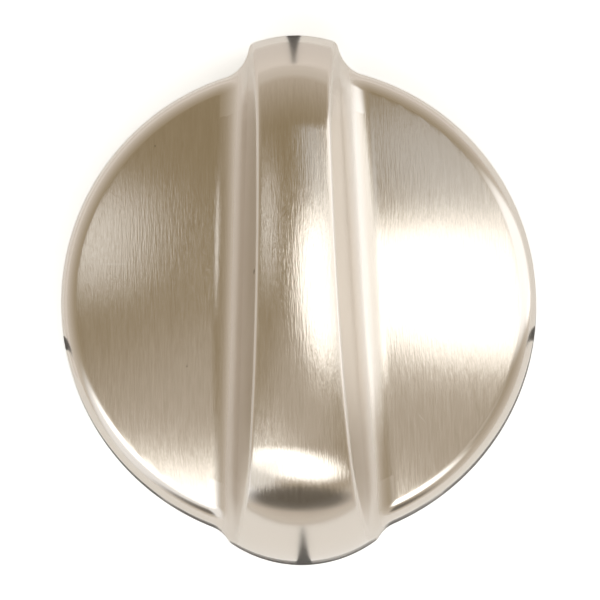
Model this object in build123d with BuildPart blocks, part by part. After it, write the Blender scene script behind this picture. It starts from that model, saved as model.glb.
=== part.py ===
"""Stove control knob: a drawn steel skin over a moulded core with a sprung D socket.

Millimetres. Origin on the stem axis at the plane of the back edge, +Z out of the face,
+Y along the grip bar to its narrow pointer end.
"""

import os
from math import atan2, cos, radians, sin, sqrt, tan

from build123d import *

# Round body
body_diameter = 57.0
skirt_draft = 4.0
face_crest = 11.0
face_dome_radius = 150.0
rim_radius = 2.6

# Grip bar, narrow at the pointer end (+Y) and wide at the tail
pointer_overhang = 3.5
tail_overhang = 2.6
bar_rise = 11.5
pointer_top_width = 6.6
tail_top_width = 11.1
pointer_base_width = 9.8
middle_base_width = 14.6
tail_base_width = 16.6
bar_side_radius = 76.0
bar_arch_radius = 150.0
bar_crown_radius = 15.0
bar_end_radius = 15.0
bar_end_draft = 4.0
bar_edge_radius = 0.9
foot_radius = 4.0

# Steel sheet, turned in at the back edge to hold the core
sheet = 0.8

# Moulded core
core_clearance = 0.1
lining_wall = 1.6
rib_thickness = 1.4
rib_recess = 1.6
rib_angle = 40.0
web_offset = 15.0
hub_diameter = 12.0
hub_depth = 16.0

# Valve stem socket
stem_diameter = 6.35
stem_flat = 4.7
stem_clearance = 0.05
lead_in_clearance = 0.275
lead_in_depth = 5.0
socket_depth = 14.0

# Steel sleeve round the hub
band_thickness = 0.5
band_height = 4.6
band_relief = 0.6

# Hairpin spring beside the stem flat
spring_thickness = 0.4
spring_width = 3.2
spring_clearance = 0.1
spring_bend_radius = 0.5
spring_bite = 0.1
pocket_depth = 2.2

body_radius = body_diameter / 2
bar_height = face_crest + bar_rise
pointer_y = body_radius + pointer_overhang
tail_y = -body_radius - tail_overhang
end_draft = radians(bar_end_draft)
blank_margin = 1.0


def round_body(inset, low, rim):
    """Domed round body, set in by inset all over and standing on the plane z = low."""
    slope = tan(radians(skirt_draft))
    foot = body_radius - inset / cos(radians(skirt_draft))
    dome = face_dome_radius - inset
    dome_centre = face_crest - face_dome_radius
    # The rim corner lies on both the leaning skirt and the dome
    a = 1 + slope**2
    b = slope * foot + dome_centre
    c = foot**2 + dome_centre**2 - dome**2
    rim_z = (b + sqrt(b**2 - a * c)) / a
    rim_corner = (foot - rim_z * slope, rim_z)
    crest = (0, dome_centre + dome)
    with BuildPart() as body:
        with BuildSketch(Plane.YZ) as section:
            with BuildLine():
                Polyline(crest, (0, low), (foot - low * slope, low), rim_corner)
                RadiusArc(crest, rim_corner, dome)
            make_face()
            if rim > 0:
                fillet(section.vertices().sort_by_distance(rim_corner)[0], rim)
        revolve(axis=Axis.Z)
    return body.part


def base_width(y):
    """Width of the bar's base at y, on a curve through the tail, middle and pointer widths."""
    to_pointer = (pointer_base_width - middle_base_width) / pointer_y
    to_tail = (tail_base_width - middle_base_width) / tail_y
    bow = (to_pointer - to_tail) / (pointer_y - tail_y)
    return middle_base_width + (to_pointer - bow * pointer_y) * y + bow * y**2


def top_width(y):
    """Width of the bar's top at y, between straight edges."""
    taper = (pointer_top_width - tail_top_width) / (pointer_y - tail_y)
    return tail_top_width + taper * (y - tail_y)


def bar_blank(inset, low):
    """Tapered bar with bulging sides, longer and taller than the finished bar."""
    side = bar_side_radius - inset
    high = bar_height + blank_margin
    with BuildPart() as bar:
        for y in (tail_y - blank_margin, 0, pointer_y + blank_margin):
            base, top = base_width(y) / 2, top_width(y) / 2
            chord = sqrt((base - top) ** 2 + bar_height**2)
            reach = sqrt(bar_side_radius**2 - chord**2 / 4)
            centre_x = (base + top) / 2 - reach * bar_height / chord
            centre_z = bar_height / 2 - reach * (base - top) / chord
            low_x = centre_x + sqrt(side**2 - (low - centre_z) ** 2)
            high_x = centre_x + sqrt(side**2 - (high - centre_z) ** 2)
            with BuildSketch(Plane.XZ.offset(-y)):
                with BuildLine():
                    RadiusArc((low_x, low), (high_x, high), -side)
                    Line((high_x, high), (-high_x, high))
                    RadiusArc((-high_x, high), (-low_x, low), -side)
                    Line((-low_x, low), (low_x, low))
                make_face()
        loft()
    return bar.part


def end_roll(reach):
    """Centre of the roll over a bar end, tangent to the arch and the leaning end wall, and its turn."""
    between = bar_arch_radius - bar_end_radius
    arch_centre = bar_height - bar_arch_radius
    wall_y = reach - bar_end_radius / cos(end_draft) - arch_centre * tan(end_draft)
    a = 1 + tan(end_draft) ** 2
    b = wall_y * tan(end_draft)
    rise = (b + sqrt(b**2 - a * (wall_y**2 - between**2))) / a
    centre_y = wall_y - rise * tan(end_draft)
    return centre_y, arch_centre + rise, atan2(centre_y, rise)


def over_bar(inset, low):
    """Space above and beyond the bar: its crowned top, rolled down over both ends."""
    arch = bar_arch_radius - inset
    end = bar_end_radius - inset
    crown = bar_crown_radius - inset
    deep = low - blank_margin
    corners = []
    for reach in (-tail_y, pointer_y):
        roll_y, roll_z, turn = end_roll(reach)
        on_arch = (arch * sin(turn), bar_height - bar_arch_radius + arch * cos(turn))
        on_wall = (roll_y + end * cos(end_draft), roll_z + end * sin(end_draft))
        start = (reach - inset / cos(end_draft) - deep * tan(end_draft), deep)
        corners.append((on_arch, on_wall, start))
    tail, pointer = corners
    tail = [(-y, z) for y, z in tail]
    half = tail_base_width / 2 + blank_margin - inset
    sag = crown - sqrt(crown**2 - half**2)
    with BuildPart() as space:
        with BuildLine(Plane.YZ) as path:
            Line(tail[2], tail[1])
            RadiusArc(tail[1], tail[0], end)
            RadiusArc(tail[0], pointer[0], arch)
            RadiusArc(pointer[0], pointer[1], end)
            Line(pointer[1], pointer[2])
        with BuildSketch(Plane(path.wire() @ 0, x_dir=(1, 0, 0), z_dir=path.wire() % 0)):
            with BuildLine():
                ThreePointArc((-half, sag), (0, 0), (half, sag))
                Polyline((half, sag), (half, -bar_height), (-half, -bar_height), (-half, sag))
            make_face()
        sweep(path=path.wire())
    return space.part


def knob_form(inset, low, blended=True, edge=0.0):
    """Solid outer form of the knob, set in by inset all over; edge rounds the bar's long edges."""
    body = round_body(inset, low, rim_radius - inset if blended else 0)
    bar = bar_blank(inset, low)
    space = over_bar(inset, low)
    with BuildPart() as form:
        add(body)
        add(bar)
        if blended:
            meeting = form.edges().filter_by(
                lambda e: (e @ 0.5).Z > low + sheet / 10
                and max(body.distance_to(e @ 0.5), bar.distance_to(e @ 0.5)) < sheet / 100
            )
            fillet(meeting, foot_radius + inset)
        add(space, mode=Mode.SUBTRACT)
        if edge > 0:
            long_edges = form.edges(Select.NEW).filter_by(
                lambda e: abs((e @ 0.5).X) > edge and (e @ 0.5).Z > low + edge / 10
            )
            fillet(long_edges, edge)
    return form.part


lining_inset = sheet + core_clearance
outside = knob_form(0, 0, edge=bar_edge_radius)
cavity = knob_form(sheet, sheet)
lining = knob_form(lining_inset, sheet)
hollow = knob_form(lining_inset + lining_wall, -sheet, blended=False)

# Drawn skin with a hemmed back edge
with BuildPart() as knob_shell:
    add(outside)
    add(cavity, mode=Mode.SUBTRACT)
    add(hollow, mode=Mode.SUBTRACT)

socket_radius = stem_diameter / 2 + stem_clearance
flat_y = stem_diameter / 2 - stem_flat - stem_clearance
pocket_back = flat_y - pocket_depth
hub_mouth = sheet
socket_end = hub_mouth + socket_depth
relief_radius = hub_diameter / 2 + band_thickness + band_relief
pocket_width = spring_width + 2 * spring_clearance

# Hub, radial ribs and bar webs, kept inside the lining
with BuildPart() as stiffening:
    with BuildSketch(Plane.XY.offset(hub_mouth)):
        Circle(hub_diameter / 2)
    extrude(amount=hub_depth)
    with BuildSketch(Plane.XY.offset(hub_mouth + rib_recess)):
        for angle in (-rib_angle, 0, rib_angle):
            Rectangle(body_diameter, rib_thickness, rotation=angle)
        with Locations((0, web_offset), (0, -web_offset)):
            Rectangle(middle_base_width - 2 * lining_wall, rib_thickness)
    extrude(amount=bar_height)
    add(lining, mode=Mode.INTERSECT)

# Moulded core, bored from the back for the valve stem
with BuildPart() as core_insert:
    add(lining)
    add(hollow, mode=Mode.SUBTRACT)
    add(stiffening.part)
    with BuildSketch(Plane.XY.offset(hub_mouth)):
        Circle(relief_radius)
        Circle(hub_diameter / 2, mode=Mode.SUBTRACT)
    extrude(amount=band_height, mode=Mode.SUBTRACT)
    with BuildSketch(Plane.XY.offset(hub_mouth)):
        Circle(socket_radius)
        with Locations((0, flat_y)):
            Rectangle(hub_diameter, hub_diameter, align=(Align.CENTER, Align.MAX), mode=Mode.SUBTRACT)
            Rectangle(pocket_width, pocket_depth, align=(Align.CENTER, Align.MAX))
    extrude(amount=socket_depth, mode=Mode.SUBTRACT)
    with BuildSketch(Plane.XY.offset(hub_mouth)):
        Circle(stem_diameter / 2 + lead_in_clearance)
    extrude(amount=lead_in_depth, mode=Mode.SUBTRACT)

# Sleeve pressed up to the ribs
with BuildPart() as hub_band:
    with BuildSketch(Plane.XY.offset(hub_mouth)):
        Circle(hub_diameter / 2 + band_thickness)
        Circle(hub_diameter / 2, mode=Mode.SUBTRACT)
    extrude(amount=band_height)
    fillet(hub_band.edges().group_by(Axis.Z)[0], band_thickness / 4)

# Hairpin leaf: back leg on the pocket wall, front leg bowed onto the stem flat
spring_back = pocket_back + spring_thickness / 2
spring_top = socket_end - spring_thickness / 2
spring_foot = hub_mouth + lead_in_depth + spring_thickness
bow_z = (spring_top + spring_foot) / 2
with BuildPart() as stem_spring:
    with BuildSketch(Plane.YZ):
        with BuildLine():
            back = Line((spring_back, spring_foot), (spring_back, spring_top - spring_bend_radius))
            bend = RadiusArc(
                back @ 1, (back @ 1) + (2 * spring_bend_radius, 0), spring_bend_radius
            )
            ThreePointArc(
                bend @ 1,
                (flat_y + spring_bite - spring_thickness / 2, bow_z),
                (spring_back + 2 * spring_bend_radius, spring_foot),
            )
        trace(line_width=spring_thickness)
    extrude(amount=spring_width / 2, both=True)

os.makedirs("parts", exist_ok=True)
for name, piece in {
    "knob_shell": knob_shell,
    "core_insert": core_insert,
    "hub_band": hub_band,
    "stem_spring": stem_spring,
}.items():
    piece.part.label = name
    export_step(piece.part, f"parts/{name}.step")
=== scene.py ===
"""Brushed steel stove knob: a smooth skin, its finishes, light and camera.

Metres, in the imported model's frame.
"""

from math import atan2, cos, pi, radians, sin, sqrt, tan

import bpy
import numpy as np
from mathutils import Matrix, Vector

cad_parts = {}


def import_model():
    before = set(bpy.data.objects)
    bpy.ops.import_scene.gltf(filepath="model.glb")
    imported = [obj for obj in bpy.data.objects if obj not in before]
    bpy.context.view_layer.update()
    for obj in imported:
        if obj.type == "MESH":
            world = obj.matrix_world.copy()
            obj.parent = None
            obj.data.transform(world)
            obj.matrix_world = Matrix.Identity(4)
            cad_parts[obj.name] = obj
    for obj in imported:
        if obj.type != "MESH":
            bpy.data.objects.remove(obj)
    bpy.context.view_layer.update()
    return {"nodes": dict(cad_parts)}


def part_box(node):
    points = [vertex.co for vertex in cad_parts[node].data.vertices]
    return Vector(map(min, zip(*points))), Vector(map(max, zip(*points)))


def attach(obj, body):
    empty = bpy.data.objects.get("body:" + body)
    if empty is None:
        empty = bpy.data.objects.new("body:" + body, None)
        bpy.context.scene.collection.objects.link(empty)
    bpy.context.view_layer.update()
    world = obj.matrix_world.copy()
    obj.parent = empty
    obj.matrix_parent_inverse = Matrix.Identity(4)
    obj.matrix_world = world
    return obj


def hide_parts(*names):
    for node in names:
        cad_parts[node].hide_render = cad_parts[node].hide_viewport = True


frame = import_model()

# The skin's form, in millimetres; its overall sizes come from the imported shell
MM = 0.001
shell_low, shell_high = (np.array(corner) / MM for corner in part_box("knob_shell"))
BODY_RADIUS = shell_high[0]
POINTER_Y = shell_high[1]
TAIL_Y = shell_low[1]
BAR_HEIGHT = shell_high[2]
SKIRT_DRAFT = radians(4.0)
FACE_CREST = 11.0
DOME_RADIUS = 150.0
RIM_RADIUS = 2.6
POINTER_TOP_WIDTH = 6.6
TAIL_TOP_WIDTH = 11.1
POINTER_BASE_WIDTH = 9.8
MIDDLE_BASE_WIDTH = 14.6
TAIL_BASE_WIDTH = 16.6
SIDE_RADIUS = 76.0
ARCH_RADIUS = 150.0
CROWN_RADIUS = 15.0
END_RADIUS = 15.0
END_DRAFT = radians(4.0)
EDGE_RADIUS = 0.9
FOOT_RADIUS = 4.0
SHEET = 0.8
HEM_WIDTH = 2.5

TOP_TAPER = (POINTER_TOP_WIDTH - TAIL_TOP_WIDTH) / (POINTER_Y - TAIL_Y)
MIDDLE_TOP_WIDTH = TAIL_TOP_WIDTH - TOP_TAPER * TAIL_Y

# Mesh of the skin: columns of points that climb from the back edge to a spine along the bar
HALF_COLUMNS = 330
EDGE_SAMPLES = 20 * HALF_COLUMNS
OUTER_POINTS = 96
INNER_POINTS = 22
SPINE_HALF = 20.0
SPINE_REACH = 26.0
CLIMB_STEP = 0.1
CLIMB_STEPS = 600
FLAT_SPACING = 0.9
TURN_SPACING = radians(3.5)
SEARCH_RADII = (BODY_RADIUS / 2, POINTER_Y * 1.1)
SEARCH_HALVINGS = 40
MERGE_DECIMALS = 5

# Guards against division by nothing where two surfaces run alike or a point lies on a centre
LEAST_SPREAD = 1e-6
LEAST_SQUARE = 1e-12
LEAST_RADIUS = 1e-9

# Where the brushing stops, as a slope from the face, and over how many degrees it fades
RIM_BRUSH = (13.0, 2.0)
FOOT_BRUSH = (32.0, 14.0)
TOP_BRUSH = (34.0, 3.0)
# Sideways lean of the normal over which a surface becomes a bar wall
WALL_LEAN = (0.5, 0.75)

# Brushed steel: hairs and streaks stretched along the bar, as noise cells per metre
HAIR_CELLS = (5200, 480, 480)
STREAK_CELLS = (2600, 120, 120)
SMEAR_CELLS = (160, 96, 160)
STREAK_SHARE = 0.3
NOISE_SPAN = (0.3, 0.7)
RAGGED_EDGE = 0.8
POLISHED = (0.79, 0.75, 0.705)
BRUSHED_DARK = (0.67, 0.615, 0.545)
BRUSHED_PALE = (0.725, 0.675, 0.61)
POLISHED_ROUGHNESS = (0.14, 0.2)
BRUSHED_ROUGHNESS = (0.15, 0.2)
WALL_ROUGHNESS = 0.17
HAIR_DEPTH = 0.00003
HAIR_STRENGTH = (0.45, 0.85)
BRUSHED_ANISOTROPY = 0.4

# Wear on the brushed face: place, turn, half length and half width, in millimetres and degrees
PALE_MARKS = (
    ((12.8, -9.5, 10.2), 62, 0.8, 0.05),
    ((14.1, -14.1, 9.7), -46, 0.9, 0.06),
    ((10.7, -11.2, 10.2), 80, 0.5, 0.05),
    ((-3.5, -14.7, 21.4), -70, 0.7, 0.07),
    ((-3.8, -16.9, 21.1), 85, 0.35, 0.08),
    ((-21.1, 4.6, 9.4), -2, 2.6, 0.05),
)
DARK_MARKS = (
    ((-13.1, -7.6, 10.2), 20, 0.14, 0.1),
    ((-16.5, 18.5, 8.9), 0, 0.12, 0.12),
    ((-4.8, 2.4, 20.8), 85, 0.4, 0.12),
)
PALE_MARK_COLOUR = (0.93, 0.92, 0.9)
PALE_MARK_DEPTH = 0.45
DARK_MARK_COLOUR = (0.2, 0.18, 0.15)
DARK_MARK_DEPTH = 0.7
MARK_CORE = 0.4

# Black moulded core
PLASTIC_DARK = (0.018, 0.018, 0.019)
PLASTIC_PALE = (0.034, 0.034, 0.036)
PLASTIC_ROUGHNESS = (0.42, 0.6)
FLOW_CELLS = (90, 90, 90)
FLOW_SPAN = (0.35, 0.7)
PEBBLE_CELLS = (5200, 5200, 5200)
PEBBLE_DEPTH = 0.00003
PEBBLE_STRENGTH = 0.25

# Rolled steel strip of the sleeve and the spring
STAIN_CELLS = (420, 420, 420)
ROLLING_SHARE = 0.6
ROLLING_DEPTH = 0.00001
ROLLING_STRENGTH = 0.2

# Room: paler at the floor, dim and warm overhead; the blend ends at ROOM_TOP of the way up
ROOM_ABOVE = (0.345, 0.274, 0.168)
ROOM_LOW = (0.72, 0.65, 0.57)
ROOM_TOP = 0.9

# Cards round the knob: lean from the stem axis, azimuth from the right, half sizes along and across
# the lean, and turn, all in degrees of sky; then colour, level and distance
CARD_WHITE = (1.0, 0.985, 0.96)
CARD_DIM = (1.0, 0.88, 0.72)
CARDS = (
    ("key", 20, 14, 23, 9.5, -21, CARD_WHITE, 2.4, 0.8),
    ("upper_fill", 25, 52, 7, 11, 0, CARD_WHITE, 0.72, 0.8),
    ("right_wall", 60, 15, 40, 23, 0, CARD_WHITE, 1.4, 0.8),
    ("right_side", 74, 5, 18, 11, 0, CARD_WHITE, 2.2, 0.8),
    ("low_fill", 30, 258, 15, 50, 0, CARD_WHITE, 2.4, 0.8),
    ("left_wall", 60, 219, 34, 29, -12, CARD_WHITE, 1.0, 0.8),
    ("left_patch", 27, 154, 6, 8, 0, CARD_WHITE, 1.15, 0.8),
    ("dark_gap", 61, 268, 14, 54, 0, CARD_DIM, 0.16, 0.7),
    ("low_glow", 20, 268, 26, 42, 0, CARD_DIM, 0.54, 0.9),
)
CARD_RINGS = 20
CARD_SPOKES = 72
CARD_EDGE = 0.3

# Pale floor, and how far it is lifted for the camera and in the metal
FLOOR_HALF = 12.0
FLOOR_HEIGHT = -0.00005
FLOOR_GREY = (0.9, 0.93)
FLOOR_CELLS = (12, 12, 12)
FLOOR_LIFT = (0.94, 0.98, 1.0)
FLOOR_SEEN = 0.5
FLOOR_IN_METAL = 0.1

# Sheets near the floor that only the metal mirrors: grey on the far side, dark at the knob's edge as a
# painted contact shadow, and dark in four lines away from it
FLAG_SIDE = (48, 196)
FLAG_POINTS = 24
FLAG_REACH = (0.044, 1.5)
FLAG_HEIGHT = 0.0001
FLAG_COLOUR = (0.72, 0.66, 0.6)
FLAG_CELLS = (8, 8, 8)
FLAG_LEVEL = (0.95, 1.05)
# Grey of the dark sheets: the painted contact shadow at the knob's edge and the four lines
DARK_SHEET_GREY = (0.1, 0.14)
DARK_SHEET_CELLS = (400, 400, 400)
# Painted contact shadow: a dark sheet just outside the knob's edge, which the metal's lowest part mirrors
CONTACT_SHADE_SPREAD = 1.025
CONTACT_SHADE_POINTS = 240
CONTACT_SHADE_TURN = 0.001
CONTACT_SHADE_HEIGHT = -0.00003
LINE_ANGLES = (-8, 90, 188, 270)
LINE_REACH = 0.35
LINE_NEAR_WIDTH = 0.0018
LINE_FAR_WIDTH = 0.01
LINE_HEIGHT = 0.0002

# Camera: place, aim and field that give the photograph's view of the knob
CAMERA_PLACE = Vector((0.0036, -0.026, 0.350))
CAMERA_ROLL = radians(1.1)
CAMERA_CLIP = 0.01
IMAGE_SIZE = 600
BODY_RADIUS_PIXELS = 237.0
BASE_CENTRE_PIXEL = (299.0, 305.5)
SENSOR = 36.0


def rounded(a, b, radius):
    """Two fields (a row of distances and three of slopes) intersected, a ball rolled along their edge."""
    turn = (a[1:] * b[1:]).sum(0)
    spread = np.maximum(1 - turn**2, LEAST_SPREAD)
    deep_a, deep_b = a[0] + radius, b[0] + radius
    along_a = (deep_a - turn * deep_b) / spread
    along_b = (deep_b - turn * deep_a) / spread
    length = np.sqrt(np.maximum(along_a * deep_a + along_b * deep_b, LEAST_SQUARE))
    ball = np.vstack([length - radius, (along_a * a[1:] + along_b * b[1:]) / length])
    return np.where((along_a > 0) & (along_b > 0), ball, np.where(a[0] > b[0], a, b))


def round_body(p):
    """Domed round body with its rounded rim."""
    x, y, z = p
    out = np.hypot(x, y)
    lean_out, lean_up = cos(SKIRT_DRAFT), sin(SKIRT_DRAFT)
    skirt = [
        (out - BODY_RADIUS) * lean_out + z * lean_up,
        x / out * lean_out,
        y / out * lean_out,
        np.full_like(x, lean_up),
    ]
    up = z - FACE_CREST + DOME_RADIUS
    far = np.sqrt(x**2 + y**2 + up**2)
    dome = [far - DOME_RADIUS, x / far, y / far, up / far]
    return rounded(np.array(skirt), np.array(dome), RIM_RADIUS)


def half_width(y, tail, middle, pointer):
    """Half the bar's width at y, on a curve through three widths, and how it changes along y."""
    to_pointer = (pointer - middle) / POINTER_Y
    to_tail = (tail - middle) / TAIL_Y
    bow = (to_pointer - to_tail) / (POINTER_Y - TAIL_Y)
    lean = to_pointer - bow * POINTER_Y
    return (middle + lean * y + bow * y**2) / 2, (lean + 2 * bow * y) / 2


def bar_sides(p):
    """Bulging, tapering side walls of the bar."""
    x, y, z = p
    base, base_taper = half_width(y, TAIL_BASE_WIDTH, MIDDLE_BASE_WIDTH, POINTER_BASE_WIDTH)
    top, top_taper = half_width(y, TAIL_TOP_WIDTH, MIDDLE_TOP_WIDTH, POINTER_TOP_WIDTH)
    chord = np.hypot(base - top, BAR_HEIGHT)
    reach = np.sqrt(SIDE_RADIUS**2 - chord**2 / 4)
    out = np.abs(x) - (base + top) / 2 + reach * BAR_HEIGHT / chord
    up = z - BAR_HEIGHT / 2 + reach * (base - top) / chord
    far = np.hypot(out, up)
    taper = base_taper + (top_taper - base_taper) * np.clip(z / BAR_HEIGHT, 0, 1)
    side = np.array([far - SIDE_RADIUS, np.sign(x) * out / far, -taper, up / far])
    return side / np.sqrt(1 + taper**2)


def end_roll(reach):
    """Centre of the roll over a bar end, tangent to the arch and the leaning end wall, and its turn."""
    between = ARCH_RADIUS - END_RADIUS
    arch_centre = BAR_HEIGHT - ARCH_RADIUS
    wall_y = reach - END_RADIUS / cos(END_DRAFT) - arch_centre * tan(END_DRAFT)
    a = 1 + tan(END_DRAFT) ** 2
    b = wall_y * tan(END_DRAFT)
    rise = (b + sqrt(b**2 - a * (wall_y**2 - between**2))) / a
    centre_y = wall_y - rise * tan(END_DRAFT)
    return centre_y, arch_centre + rise, atan2(centre_y, rise)


def bar_top(p):
    """Crowned top of the bar, arched along its length and rolled down over both ends."""
    x, y, z = p
    ahead = y >= 0
    way = np.where(ahead, 1.0, -1.0)
    reach = np.where(ahead, POINTER_Y, -TAIL_Y)
    pointer_roll, tail_roll = end_roll(POINTER_Y), end_roll(-TAIL_Y)
    roll_y, roll_z, turn = (np.where(ahead, a, b) for a, b in zip(pointer_roll, tail_roll))
    along = np.abs(y)
    out, up = along - roll_y, z - roll_z
    angle = np.arctan2(up, out)
    on_arch = (angle >= pi / 2 - turn) | ((out <= 0) & (up < 0))
    on_wall = (angle <= END_DRAFT) & (out > 0)
    arch_up = z - BAR_HEIGHT + ARCH_RADIUS
    arch_far = np.hypot(along, arch_up)
    roll_far = np.hypot(out, up) + LEAST_RADIUS
    wall = (along - reach) * cos(END_DRAFT) + z * sin(END_DRAFT)
    zones = [on_arch, on_wall]
    depth = np.select(zones, [arch_far - ARCH_RADIUS, wall], roll_far - END_RADIUS)
    slope_y = np.select(zones, [along / arch_far, cos(END_DRAFT)], out / roll_far) * way
    slope_z = np.select(zones, [arch_up / arch_far, sin(END_DRAFT)], up / roll_far)
    crown_up = depth + CROWN_RADIUS
    far = np.hypot(x, crown_up)
    share = crown_up / far
    return np.array([far - CROWN_RADIUS, x / far, slope_y * share, slope_z * share])


def knob_form(p):
    """Distance outside the knob's finished form, in millimetres, and its slopes."""
    body = round_body(p)
    blended = -rounded(-body, -bar_sides(p), FOOT_RADIUS)
    bar = rounded(blended, bar_top(p), EDGE_RADIUS)
    return np.where(bar[0] < body[0], bar, body)


def sharp_form(p):
    """The same form with sharp inside corners, which the hem's inner edge follows."""
    body, sides, top = round_body(p), bar_sides(p), bar_top(p)
    bar = np.where(sides[0] > top[0], sides, top)
    return np.where(bar[0] < body[0], bar, body)


def outline(form, inset, z, angles):
    """Points set in from the form by inset, at height z and at each angle about the stem axis."""
    inner, outer = (np.full_like(angles, radius) for radius in SEARCH_RADII)
    height = np.full_like(angles, z)
    for _ in range(SEARCH_HALVINGS):
        radius = (inner + outer) / 2
        field = form(np.array([radius * np.cos(angles), radius * np.sin(angles), height]))
        inside = field[0] < -inset
        inner, outer = np.where(inside, radius, inner), np.where(inside, outer, radius)
    return np.array([inner * np.cos(angles), inner * np.sin(angles), height])


def even_angles():
    """Angles from the pointer end round to the tail, evenly spaced along the back edge."""
    fine = np.linspace(pi / 2, -pi / 2, EDGE_SAMPLES)
    edge = outline(knob_form, 0, 0, fine)
    run = np.concatenate([[0], np.cumsum(np.linalg.norm(np.diff(edge, axis=1), axis=0))])
    return np.interp(np.linspace(0, run[-1], HALF_COLUMNS), run, fine)


def climb(inset, z, angles, count):
    """Columns of points on the form set in by inset, each climbing in an upright plane to the spine."""
    start = outline(knob_form, inset, z, angles)
    spine_y = SPINE_HALF * np.clip(start[1] / SPINE_REACH, -1, 1)
    length = np.hypot(start[0], start[1] - spine_y)
    toward = np.array([-start[0], spine_y - start[1]]) / length

    def place(run, height):
        return np.array([start[0] + toward[0] * run, start[1] + toward[1] * run, height])

    def in_plane(run, height):
        field = knob_form(place(run, height))
        return field[0] + inset, field[1] * toward[0] + field[2] * toward[1], field[3]

    # Small steps along the surface, each pulled back onto it
    run, height = np.zeros_like(length), np.full_like(length, z)
    runs, heights, turns = [run], [height], []
    for _ in range(CLIMB_STEPS):
        depth, slope_run, slope_up = in_plane(run, height)
        steep = np.hypot(slope_run, slope_up)
        turns.append(np.arctan2(slope_up, -slope_run))
        run = np.minimum(run + CLIMB_STEP * slope_up / steep, length)
        height = height - CLIMB_STEP * slope_run / steep
        depth, slope_run, slope_up = in_plane(run, height)
        square = slope_run**2 + slope_up**2
        arrived = run >= length
        run = np.where(arrived, length, run - depth * slope_run / square)
        height = height - np.where(arrived, depth / slope_up, depth * slope_up / square)
        runs.append(run)
        heights.append(height)
    runs, heights, turns = np.array(runs), np.array(heights), np.array(turns)

    # Points closer together where the surface bends
    steps = np.hypot(np.diff(runs, axis=0), np.diff(heights, axis=0))
    bends = np.abs(np.diff(turns, axis=0, append=turns[-1:]))
    effort = np.cumsum(steps / FLAT_SPACING + bends / TURN_SPACING, axis=0)
    effort = np.vstack([np.zeros_like(length), effort])
    share = np.linspace(0, 1, count)
    run = np.array([np.interp(share * e[-1], e, r) for e, r in zip(effort.T, runs.T)]).T
    height = np.array([np.interp(share * e[-1], e, h) for e, h in zip(effort.T, heights.T)]).T
    rows = []
    for row in range(count):
        across, up = run[row], height[row]
        if 0 < row < count - 1:
            depth, slope_run, slope_up = in_plane(across, up)
            square = slope_run**2 + slope_up**2
            across, up = across - depth * slope_run / square, up - depth * slope_up / square
        rows.append(place(across, up))
    return np.array(rows).transpose(2, 0, 1)


def skin_mesh():
    """Drawn skin as one closed mesh: outside, turned-in hem and inside."""
    angles = even_angles()
    outside = climb(0, 0, angles, OUTER_POINTS)
    inside = climb(SHEET, SHEET, angles, INNER_POINTS)
    hem = [outline(sharp_form, HEM_WIDTH, z, angles).T for z in (SHEET, 0)]
    half = np.concatenate([inside[:, ::-1], np.stack(hem, axis=1), outside], axis=1)
    other = half[-2:0:-1] * (-1, 1, 1)
    columns = np.concatenate([half, other])
    count, depth = columns.shape[:2]
    points = np.round(columns.reshape(-1, 3), MERGE_DECIMALS)
    points, index = np.unique(points, axis=0, return_inverse=True)
    index = index.reshape(count, depth).tolist()
    first_outer = INNER_POINTS + len(hem)
    faces, shown = [], []
    for here in range(count):
        following = (here + 1) % count
        for row in range(depth - 1):
            corners = (
                index[here][row],
                index[here][row + 1],
                index[following][row + 1],
                index[following][row],
            )
            corners = list(dict.fromkeys(corners))
            if len(corners) > 2:
                faces.append(corners)
                shown.append(row >= first_outer)
    mesh = bpy.data.meshes.new("steel_skin")
    mesh.from_pydata(points * MM, [], faces)
    mesh.update()
    return mesh, points, np.array(shown)


def finish_skin(mesh, points, shown):
    """True normals on the outside, a top-down map for the brushing, and where it was brushed."""
    slopes = knob_form(points.T)[1:]
    slopes = (slopes / np.linalg.norm(slopes, axis=0)).T
    flat = np.empty(len(mesh.polygons) * 3)
    mesh.polygons.foreach_get("normal", flat)
    corners = np.empty(len(mesh.loops), int)
    mesh.loops.foreach_get("vertex_index", corners)
    totals = np.empty(len(mesh.polygons), int)
    mesh.polygons.foreach_get("loop_total", totals)
    smooth = np.repeat(shown, totals)[:, None]
    normals = np.where(smooth, slopes[corners], np.repeat(flat.reshape(-1, 3), totals, axis=0))
    mesh.shade_smooth()
    mesh.normals_split_custom_set(normals)

    steepness = np.degrees(np.arccos(np.clip(slopes[:, 2], -1, 1)))
    on_bar = points[:, 2] > FACE_CREST + FOOT_RADIUS / 2
    at_rim = np.hypot(points[:, 0], points[:, 1]) > BODY_RADIUS - 2 * RIM_RADIUS
    zones = [on_bar, at_rim]
    limit = np.select(zones, [TOP_BRUSH[0], RIM_BRUSH[0]], FOOT_BRUSH[0])
    fade = np.select(zones, [TOP_BRUSH[1], RIM_BRUSH[1]], FOOT_BRUSH[1])
    brushed = np.clip((limit - steepness) / fade, -1, 1)
    near_bar = np.abs(points[:, 0]) < TAIL_BASE_WIDTH
    walls = np.interp(np.abs(slopes[:, 0]), WALL_LEAN, (0, 1)) * near_bar
    mesh.attributes.new("walls", "FLOAT", "POINT").data.foreach_set("value", walls)
    mesh.attributes.new("brushed", "FLOAT", "POINT").data.foreach_set("value", brushed)
    top_down = points[corners][:, :2] / (2 * POINTER_Y) + 0.5
    mesh.uv_layers.new(name="top_down").data.foreach_set("uv", top_down.ravel())


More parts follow.
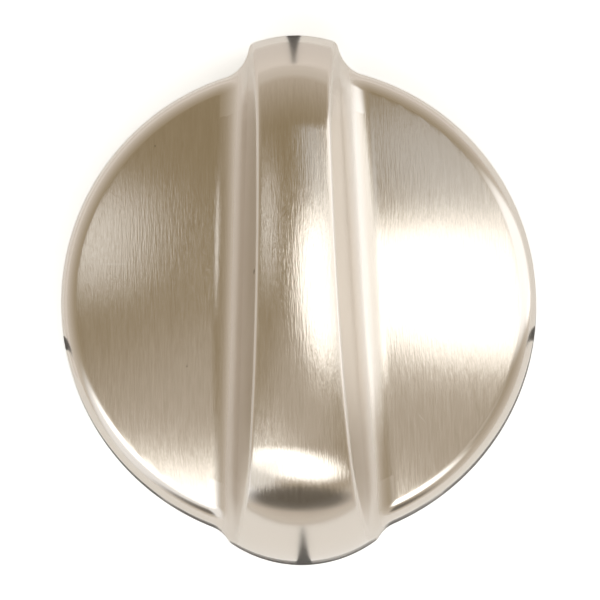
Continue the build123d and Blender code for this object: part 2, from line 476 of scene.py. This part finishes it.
class Nodes:
    """Short words for building one material's nodes."""

    def __init__(self, name):
        self.material = bpy.data.materials.new(name)
        self.material.use_nodes = True
        self.tree = self.material.node_tree
        self.shader = self.tree.nodes["Principled BSDF"]

    def put(self, socket, value):
        """Link a socket to another node's output, or set its own value."""
        if isinstance(value, bpy.types.NodeSocket):
            self.tree.links.new(value, socket)
        else:
            socket.default_value = value

    def add(self, kind, out=0, settings=(), **inputs):
        """New node with its settings and named inputs; gives one of its outputs."""
        node = self.tree.nodes.new(kind)
        for name, value in dict(settings).items():
            setattr(node, name, value)
        for name, value in inputs.items():
            self.put(node.inputs[name.replace("_", " ")], value)
        return node.outputs[out]

    def maths(self, operation, *values):
        node = self.tree.nodes.new("ShaderNodeMath")
        node.operation = operation
        for socket, value in zip(node.inputs, values):
            self.put(socket, value)
        return node.outputs[0]

    def weigh(self, first, second, share):
        """Sum of two values, the first counting by share and the second by the rest."""
        return self.maths("MULTIPLY_ADD", first, share, self.maths("MULTIPLY", second, 1 - share))

    def spot(self):
        return self.add("ShaderNodeTexCoord", out="Object")

    def attribute(self, name):
        return self.add("ShaderNodeAttribute", out="Fac", settings={"attribute_name": name})

    def noise(self, cells, detail=2.0, rough=0.5):
        """Noise with so many cells per metre along each axis."""
        place = self.add("ShaderNodeMapping", Vector=self.spot(), Scale=cells)
        return self.add(
            "ShaderNodeTexNoise", Vector=place, Scale=1.0, Detail=detail, Roughness=rough
        )

    def range(self, value, result=(0.0, 1.0), span=(0.0, 1.0)):
        """A value's run over span, mapped to result."""
        return self.add(
            "ShaderNodeMapRange",
            Value=value,
            From_Min=span[0],
            From_Max=span[1],
            To_Min=result[0],
            To_Max=result[1],
        )

    def blend(self, share, first, second):
        """Colour that goes from the first to the second by share."""
        node = self.tree.nodes.new("ShaderNodeMix")
        node.data_type = "RGBA"
        sockets = {s.identifier: s for s in node.inputs}
        self.put(sockets["Factor_Float"], share)
        self.put(sockets["A_Color"], (*first, 1) if isinstance(first, tuple) else first)
        self.put(sockets["B_Color"], (*second, 1) if isinstance(second, tuple) else second)
        return {s.identifier: s for s in node.outputs}["Result_Color"]

    def marks(self, marks, depth):
        """Share of the surface that small oval marks take."""
        spot = self.spot()
        share = 0.0
        for place, turn, length, width in marks:
            local = self.add(
                "ShaderNodeMapping",
                settings={"vector_type": "TEXTURE"},
                Vector=spot,
                Location=Vector(place) * MM,
                Rotation=(0, 0, radians(turn)),
                Scale=Vector((length, width, FOOT_RADIUS)) * MM,
            )
            far = self.add(
                "ShaderNodeVectorMath", out="Value", settings={"operation": "LENGTH"}, Vector=local
            )
            mark = self.range(far, (depth, 0.0), (MARK_CORE, 1.0))
            share = self.maths("MAXIMUM", mark, share)
        return share

    def bump(self, height, strength, depth):
        return self.add("ShaderNodeBump", Height=height, Strength=strength, Distance=depth)

    def surface(self, **inputs):
        """Set or link the shader's inputs; gives the material."""
        for name, value in inputs.items():
            self.put(self.shader.inputs[name.replace("_", " ")], value)
        return self.material


def brushed_skin():
    """Stainless sheet brushed along the bar, polished where it turns, with a little wear."""
    n = Nodes("brushed_skin")
    fine = n.noise(HAIR_CELLS, detail=3.0, rough=0.6)
    broad = n.noise(STREAK_CELLS)
    smears = n.noise(SMEAR_CELLS, detail=3.0)
    grain = n.weigh(broad, fine, STREAK_SHARE)

    # The brushing's edge is ragged, as hairs end at different places
    stray = n.maths("SUBTRACT", fine, 0.5)
    margin = n.maths("MULTIPLY_ADD", stray, RAGGED_EDGE, n.attribute("brushed"))
    mask = n.range(margin, span=(-0.5, 0.5))

    dull = n.range(grain, BRUSHED_ROUGHNESS, NOISE_SPAN)
    bright = n.range(smears, POLISHED_ROUGHNESS, NOISE_SPAN)
    bright = n.maths("MULTIPLY_ADD", n.attribute("walls"), WALL_ROUGHNESS, bright)
    roughness = n.maths("MULTIPLY_ADD", mask, n.maths("SUBTRACT", dull, bright), bright)

    brushed = n.blend(n.range(grain, span=NOISE_SPAN), BRUSHED_DARK, BRUSHED_PALE)
    colour = n.blend(mask, POLISHED, brushed)
    colour = n.blend(n.marks(PALE_MARKS, PALE_MARK_DEPTH), colour, PALE_MARK_COLOUR)
    colour = n.blend(n.marks(DARK_MARKS, DARK_MARK_DEPTH), colour, DARK_MARK_COLOUR)

    # Hairs stand out more on the bar's top than on the face
    height = n.add("ShaderNodeSeparateXYZ", out="Z", Vector=n.spot())
    hairs = n.range(height, HAIR_STRENGTH, (FACE_CREST * MM, BAR_HEIGHT * MM))
    return n.surface(
        Base_Color=colour,
        Metallic=1.0,
        Roughness=roughness,
        Anisotropic=BRUSHED_ANISOTROPY,
        Normal=n.bump(fine, n.maths("MULTIPLY", mask, hairs), HAIR_DEPTH),
        Tangent=n.add(
            "ShaderNodeTangent", settings={"direction_type": "UV_MAP", "uv_map": "top_down"}
        ),
    )


def core_plastic():
    """Black moulded thermoset with a fine matt skin and paler flow marks."""
    n = Nodes("core_plastic")
    flow = n.noise(FLOW_CELLS, detail=4.0)
    return n.surface(
        Base_Color=n.blend(n.range(flow, span=FLOW_SPAN), PLASTIC_DARK, PLASTIC_PALE),
        Roughness=n.range(flow, PLASTIC_ROUGHNESS, NOISE_SPAN),
        Normal=n.bump(n.noise(PEBBLE_CELLS), PEBBLE_STRENGTH, PEBBLE_DEPTH),
    )


def rolled_strip(name, dark, pale, lines, roughness):
    """Steel strip with rolling lines along it, darker where handled; roughness from dark to pale."""
    n = Nodes(name)
    rolling = n.noise(lines, detail=3.0)
    stain = n.noise(STAIN_CELLS, detail=3.0)
    share = n.range(n.weigh(rolling, stain, ROLLING_SHARE), span=NOISE_SPAN)
    return n.surface(
        Base_Color=n.blend(share, dark, pale),
        Metallic=1.0,
        Roughness=n.range(share, roughness),
        Normal=n.bump(rolling, ROLLING_STRENGTH, ROLLING_DEPTH),
    )


def paint(piece, material):
    piece.data.materials.clear()
    piece.data.materials.append(material)


def new_piece(name, mesh, material):
    """Object for a mesh, painted and put in the scene."""
    piece = bpy.data.objects.new(name, mesh)
    paint(piece, material)
    bpy.context.scene.collection.objects.link(piece)
    return piece


def studio_card(name, lean, azimuth, reach, spread, turn, colour, level, distance):
    """Oval card with a soft edge that faces the knob and stays out of the camera's sight."""
    centre = lean * np.array([cos(radians(azimuth)), sin(radians(azimuth))])
    axis = radians(azimuth + turn)
    points, shares = [], []
    for ring in range(CARD_RINGS + 1):
        out = ring / CARD_RINGS
        for spoke in range(CARD_SPOKES):
            angle = 2 * pi * spoke / CARD_SPOKES
            along, across = out * reach * cos(angle), out * spread * sin(angle)
            u = centre[0] + along * cos(axis) - across * sin(axis)
            v = centre[1] + along * sin(axis) + across * cos(axis)
            tilt, way = radians(np.hypot(u, v)), atan2(v, u)
            toward = Vector((sin(tilt) * cos(way), sin(tilt) * sin(way), cos(tilt)))
            points.append(distance * toward)
            shares.append(min(1.0, (1 - out) / CARD_EDGE))
    index = np.arange(len(points)).reshape(CARD_RINGS + 1, CARD_SPOKES)
    following = np.roll(index, -1, axis=1)
    corners = (index[:-1], index[1:], following[1:], following[:-1])
    mesh = bpy.data.meshes.new(name)
    mesh.from_pydata(points, [], np.stack(corners, axis=-1).reshape(-1, 4).tolist())
    mesh.attributes.new("share", "FLOAT", "POINT").data.foreach_set("value", shares)

    n = Nodes(name)
    soft = n.tree.nodes.new("ShaderNodeMixShader")
    layers = (
        n.attribute("share"),
        n.add("ShaderNodeBsdfTransparent"),
        n.add("ShaderNodeEmission", Color=(*colour, 1), Strength=level),
    )
    for socket, layer in zip(soft.inputs, layers):
        n.put(socket, layer)
    n.put(n.tree.nodes["Material Output"].inputs["Surface"], soft.outputs[0])
    n.tree.nodes.remove(n.shader)

    card = new_piece(name, mesh, n.material)
    card.visible_camera = False


def floor():
    """Plain floor that keeps the knob's shadow, lifted to white for the camera, less in the metal."""
    left, right = -FLOOR_HALF, FLOOR_HALF
    corners = [(x, y, FLOOR_HEIGHT) for x, y in ((left, left), (right, left), (right, right), (left, right))]
    mesh = bpy.data.meshes.new("floor")
    mesh.from_pydata(corners, [], [(0, 1, 2, 3)])
    n = Nodes("floor")
    path = n.tree.nodes.new("ShaderNodeLightPath").outputs
    in_metal = n.maths("MAXIMUM", path["Is Glossy Ray"], path["Is Transmission Ray"])
    lift = n.maths("MULTIPLY", path["Is Camera Ray"], FLOOR_SEEN)
    material = n.surface(
        Base_Color=n.range(n.noise(FLOOR_CELLS), FLOOR_GREY),
        Roughness=0.9,
        Emission_Color=(*FLOOR_LIFT, 1),
        Emission_Strength=n.maths("MULTIPLY_ADD", in_metal, FLOOR_IN_METAL, lift),
    )
    piece = new_piece("floor", mesh, material)


def floor_piece(name, corners, material):
    """Flat sheet just over the floor that only the metal mirrors."""
    mesh = bpy.data.meshes.new(name)
    mesh.from_pydata(corners, [], [tuple(range(len(corners)))])
    piece = new_piece(name, mesh, material)
    piece.visible_camera = False
    piece.visible_diffuse = False
    piece.visible_shadow = False


def floor_marks():
    """Grey sheet beyond the knob, a dark one round its edge as a painted contact shadow, and dark lines laid
    out four ways.
    """
    n = Nodes("floor_flag")
    grey = n.surface(
        Base_Color=(0, 0, 0, 1),
        Emission_Color=(*FLAG_COLOUR, 1),
        Emission_Strength=n.range(n.noise(FLAG_CELLS), FLAG_LEVEL),
    )
    turns = np.linspace(*np.radians(FLAG_SIDE), FLAG_POINTS)
    near, far = (
        [(reach * cos(turn), reach * sin(turn), FLAG_HEIGHT) for turn in turns] for reach in FLAG_REACH
    )
    floor_piece("floor_flag", near + far[::-1], grey)

    # One dark material for the painted contact shadow round the knob's edge and for the four lines
    n = Nodes("floor_dark")
    dark = n.surface(Base_Color=n.range(n.noise(DARK_SHEET_CELLS), DARK_SHEET_GREY), Roughness=0.8)
    # Dark sheet hugging the knob's edge: a painted contact shadow, mirrored in the metal's lowest part
    turns = np.linspace(0, 2 * pi, CONTACT_SHADE_POINTS, endpoint=False) + CONTACT_SHADE_TURN
    edge = outline(knob_form, 0, 0, turns)[:2] * CONTACT_SHADE_SPREAD * MM
    floor_piece("floor_contact_shade", [(x, y, CONTACT_SHADE_HEIGHT) for x, y in edge.T], dark)
    start, narrow, wide = BODY_RADIUS * MM, LINE_NEAR_WIDTH / 2, LINE_FAR_WIDTH / 2
    corners = ((start, -narrow), (LINE_REACH, -wide), (LINE_REACH, wide), (start, narrow))
    for angle in LINE_ANGLES:
        turn = Matrix.Rotation(radians(angle), 3, "Z")
        floor_piece("floor_line", [turn @ Vector((x, y, LINE_HEIGHT)) for x, y in corners], dark)


def world():
    """Dim warm room, paler towards the floor."""
    scene = bpy.context.scene
    scene.world = bpy.data.worlds.new("studio")
    scene.world.use_nodes = True
    nodes, links = scene.world.node_tree.nodes, scene.world.node_tree.links
    height = nodes.new("ShaderNodeSeparateXYZ")
    links.new(nodes.new("ShaderNodeTexCoord").outputs["Generated"], height.inputs[0])
    ramp = nodes.new("ShaderNodeValToRGB")
    low, above = ramp.color_ramp.elements
    low.color = (*ROOM_LOW, 1)
    above.color = (*ROOM_ABOVE, 1)
    above.position = ROOM_TOP
    links.new(height.outputs["Z"], ramp.inputs["Fac"])
    links.new(ramp.outputs["Color"], nodes["Background"].inputs["Color"])


def camera():
    """Camera over the face, turned to the knob's small lean in the photograph."""
    forward = -CAMERA_PLACE.normalized()
    right = forward.cross(Vector((0, 1, 0))).normalized()
    up = right.cross(forward)
    turned_right = right * cos(CAMERA_ROLL) - up * sin(CAMERA_ROLL)
    turned_up = up * cos(CAMERA_ROLL) + right * sin(CAMERA_ROLL)
    data = bpy.data.cameras.new("camera")
    pixels_per_slope = BODY_RADIUS_PIXELS / (BODY_RADIUS * MM) * CAMERA_PLACE.length
    data.sensor_width = SENSOR
    data.lens = SENSOR * pixels_per_slope / IMAGE_SIZE
    data.shift_x = (IMAGE_SIZE / 2 - BASE_CENTRE_PIXEL[0]) / IMAGE_SIZE
    data.shift_y = (BASE_CENTRE_PIXEL[1] - IMAGE_SIZE / 2) / IMAGE_SIZE
    data.clip_start = CAMERA_CLIP
    piece = bpy.data.objects.new("camera", data)
    axes = Matrix((turned_right, turned_up, -forward)).transposed().to_4x4()
    piece.matrix_world = Matrix.Translation(CAMERA_PLACE) @ axes
    bpy.context.scene.collection.objects.link(piece)
    bpy.context.scene.camera = piece


skin, skin_points, skin_shown = skin_mesh()
finish_skin(skin, skin_points, skin_shown)
steel_skin = new_piece("steel_skin", skin, brushed_skin())
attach(steel_skin, "root")
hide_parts("knob_shell")

paint(frame["nodes"]["core_insert"], core_plastic())
paint(
    frame["nodes"]["hub_band"],
    rolled_strip(
        "band_steel",
        dark=(0.5, 0.5, 0.48),
        pale=(0.66, 0.66, 0.64),
        lines=(300, 300, 6000),
        roughness=(0.36, 0.22),
    ),
)
paint(
    frame["nodes"]["stem_spring"],
    rolled_strip(
        "spring_steel",
        dark=(0.3, 0.31, 0.33),
        pale=(0.46, 0.47, 0.5),
        lines=(6000, 400, 400),
        roughness=(0.4, 0.26),
    ),
)

floor()
world()
camera()
for card_values in CARDS:
    studio_card(*card_values)
floor_marks()

bpy.context.scene.view_settings.view_transform = "Standard"
